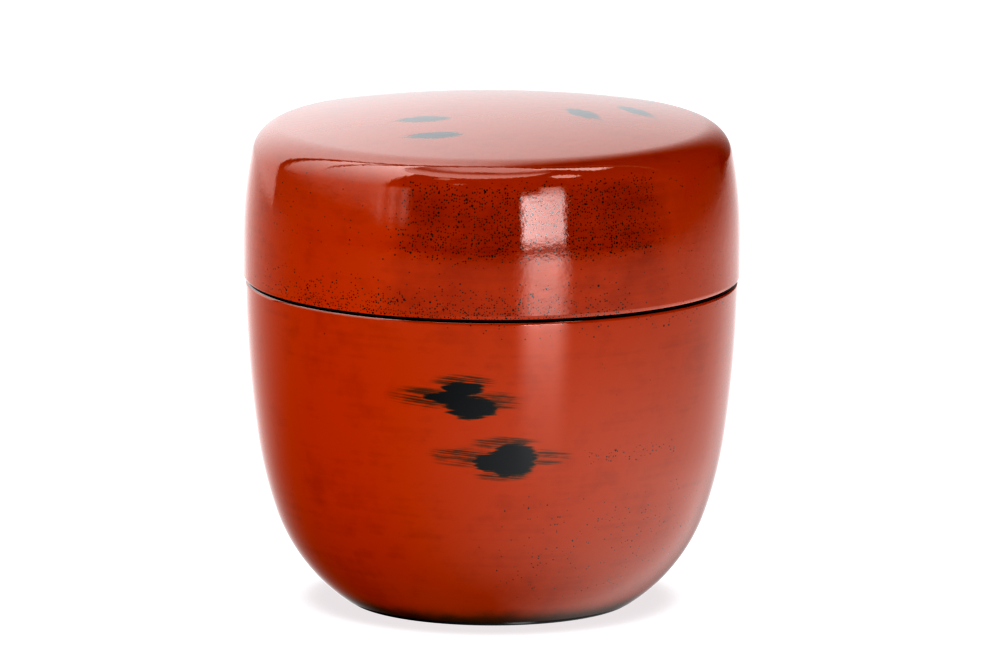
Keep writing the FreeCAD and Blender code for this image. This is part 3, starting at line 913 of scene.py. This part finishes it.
def wall_top(sky):
    """A dim gap between the top of the back wall and the light overhead."""
    return between(sky.slope_behind, 4.7, 6.4, 0.5) * sky.off(180.0).ramp(86.0, 80.0), 0.8


def overhead(sky):
    """A round light overhead with a darker band across it."""
    return sky.cap(*OVERHEAD), 6.0 - sky.bell(sky.elevation - 71.5, 4.5) * 5.0


def hazy_window(sky):
    """A far window on the left, in panes."""
    panes = sky.graph.math("COSINE", sky.azimuth * 1.05) * 0.28 + 0.72
    return sky.panel(*HAZY_WINDOW) * panes, 2.6


def window(sky):
    """The bright window in front, brightest on its left."""
    return sky.panel(*WINDOW), WINDOW_LIGHT - sky.beside(15.0) * 0.16


def room_layers(sky):
    """What stands in the room, as masks and strengths, each over the ones before it."""

    def panel(azimuth, elevation, soft, strength):
        return sky.panel(azimuth, elevation, soft), strength

    def spot(azimuth, elevation, radius, soft, strength):
        return sky.cap(azimuth, elevation, radius, soft), strength

    return [
        panel(*DARK_CORNER),
        back_wall(sky),
        (sky.panel(*LEFT_SCREEN), sky.rise(*LEFT_LIGHT)),
        overhead(sky),
        panel(*RIGHT_LAMP),
        wall_top(sky),
        spot(*RIGHT_SPOT),
        spot(*LEFT_SPOT),
        spot(*LOW_SPOT),
        panel(*CEILING_BEAM),
        hazy_window(sky),
        panel(*HIGH_PANE),
        window(sky),
    ]


def room_light(sky):
    """What the upper half sends down: a dark room with large soft panels round it."""
    light = sky.graph.greater(0.24 - sky.elevation * 0.005, 0.06)
    for mask, strength in room_layers(sky):
        light = sky.graph.blend(mask, light, strength)
    return light


def reflected_light(sky):
    """The room above the table, with a dark line along the table's far edge in front."""
    horizon = sky.elevation.ramp(*TABLE_HORIZON)
    light = sky.graph.blend(horizon, table_light(sky), room_light(sky))
    edge = sky.bell(sky.elevation - TABLE_EDGE, TABLE_EDGE_WIDTH) * sky.off(0.0).ramp(110.0, 80.0)
    return light * (1.0 - edge * 0.6)


def ambient_light(sky):
    """The soft light that matt surfaces see."""
    ambient = sky.graph.blend(sky.elevation.ramp(*AMBIENT_RISE), AMBIENT, AMBIENT_ABOVE)
    return ambient + sky.panel(*HIGH_PART) * AMBIENT_HIGH


def make_world():
    """Reflections see the room and table, matt surfaces a soft light, and the camera a plain backdrop."""
    world = bpy.data.worlds.new("studio")
    bpy.context.scene.world = world
    world.use_nodes = True
    world.cycles.sampling_method = "NONE"
    graph = Graph(world.node_tree)
    sky = Sky(graph)
    ray = graph.node("LightPath")
    light = graph.blend(ray.outputs["Is Diffuse Ray"], reflected_light(sky), ambient_light(sky))
    light = graph.blend(ray.outputs["Is Camera Ray"], light, BACKDROP)
    background = graph.node("Background")
    background.inputs["Color"].default_value = LIGHT_TINT
    graph.feed(background.inputs["Strength"], light)
    graph.feed(graph.node("OutputWorld").inputs["Surface"], background.outputs[0])


FLOOR_HALF = 3.0  # metres
FLOOR_LIT = (1.15, 2.25)  # how the floor lights the caddy: close to the foot and away from it
FLOOR_REACH = (0.035, 0.070)  # metres from the axis where it goes from one to the other
FLOOR_BEHIND = 0.3  # the share of that behind the caddy
FLOOR_DEPTH = (-60.0, 60.0)  # millimetres from front to back over which it falls to that share
FLOOR_SIDES = (1.2, 0.75)  # and the shares to the left and the right
FLOOR_WIDTH = (-90.0, 90.0)  # millimetres from one to the other
SHADOW_REACH = 0.0075  # metres
SHADOW_RAMP = (0.3, 0.95)  # how open to the sky the floor is in full shadow and clear of it
SHADOW_SAMPLES = 16
SHADOW = (0.88, 0.84, 0.85, 1.0)  # the floor's light where the foot stands on it
FLOOR_SEEN = (BACKDROP, BACKDROP, BACKDROP, 1.0)


def floor_lighting(graph):
    """The light that the floor throws on the caddy: less close to the foot, behind and on the right."""
    place = Place(graph)
    from_axis = graph.math("SQRT", place.x * place.x + place.y * place.y) * MM
    lit = graph.blend(from_axis.ramp(*FLOOR_REACH), *FLOOR_LIT)
    lit = lit * graph.blend(place.y.ramp(*FLOOR_DEPTH), 1.0, FLOOR_BEHIND)
    lit = lit * graph.blend(place.x.ramp(*FLOOR_WIDTH), *FLOOR_SIDES)
    return graph.vector(lit, lit, lit)


def floor_picture(graph):
    """The floor as it is seen: as pale as the backdrop, with a short soft shadow."""
    sheltered = graph.node("AmbientOcclusion", samples=SHADOW_SAMPLES)
    sheltered.inputs["Distance"].default_value = SHADOW_REACH
    openness = Field(graph, sheltered.outputs["AO"])
    return graph.blend_colour(openness.ramp(*SHADOW_RAMP), SHADOW, FLOOR_SEEN)


def floor_material():
    """Glows on top, and is clear from below."""
    material, graph = new_material("floor")
    seen_by_camera = graph.node("LightPath").outputs["Is Camera Ray"]
    light = graph.node("Emission")
    colour = graph.blend_colour(seen_by_camera, floor_lighting(graph), floor_picture(graph))
    graph.feed(light.inputs["Color"], colour)
    mix = graph.node("MixShader")
    graph.feed(mix.inputs[0], graph.node("NewGeometry").outputs["Backfacing"])
    graph.feed(mix.inputs[1], light.outputs[0])
    graph.feed(mix.inputs[2], graph.node("BsdfTransparent").outputs[0])
    graph.feed(graph.node("OutputMaterial").inputs["Surface"], mix.outputs[0])
    return material


def make_floor():
    """A pale floor with a shadow at the foot. Reflections take the table from the studio instead."""
    mesh = bpy.data.meshes.new("floor")
    h = FLOOR_HALF
    mesh.from_pydata([(-h, -h, 0.0), (h, -h, 0.0), (h, h, 0.0), (-h, h, 0.0)], [], [(0, 1, 2, 3)])
    mesh.materials.append(floor_material())
    floor = place_in_scene("floor", mesh)
    floor.visible_glossy = False


CAMERA_DISTANCE = 1643.0
CAMERA_ELEVATION = 0.1845  # radians
CAMERA_ROLL = 0.0042  # radians
CAMERA_LENS = 445.7
SENSOR_WIDTH = 36.0
AIM = (1.148, 35.64)  # x and z of the point of the caddy's middle plane that the camera looks at
GAMMA = 1 / 1.5
BLACK_LEVEL = 0.02


def make_camera():
    """A long lens, a little above the caddy's front."""
    camera = place_in_scene("camera", bpy.data.cameras.new("camera"))
    camera.data.lens = CAMERA_LENS
    camera.data.sensor_width = SENSOR_WIDTH
    aim = Vector((AIM[0], 0.0, AIM[1])) * MM
    back = Vector((0.0, -math.cos(CAMERA_ELEVATION), math.sin(CAMERA_ELEVATION)))
    right = Vector((1.0, 0.0, 0.0))
    up = back.cross(right)
    level = Matrix((right, up, back)).transposed()
    turned = level @ Matrix.Rotation(CAMERA_ROLL, 3, "Z")
    camera.matrix_world = Matrix.Translation(aim + back * CAMERA_DISTANCE * MM) @ turned.to_4x4()
    bpy.context.scene.camera = camera


def set_tones():
    """The picture's tones: a plain display curve with firm contrast."""
    settings = bpy.context.scene.view_settings
    settings.view_transform = "Standard"
    settings.look = "None"
    settings.gamma = GAMMA
    settings.use_curve_mapping = True
    settings.curve_mapping.black_level = (BLACK_LEVEL, BLACK_LEVEL, BLACK_LEVEL)
    settings.curve_mapping.update()


make_caddy()
make_world()
make_floor()
make_camera()
set_tones()
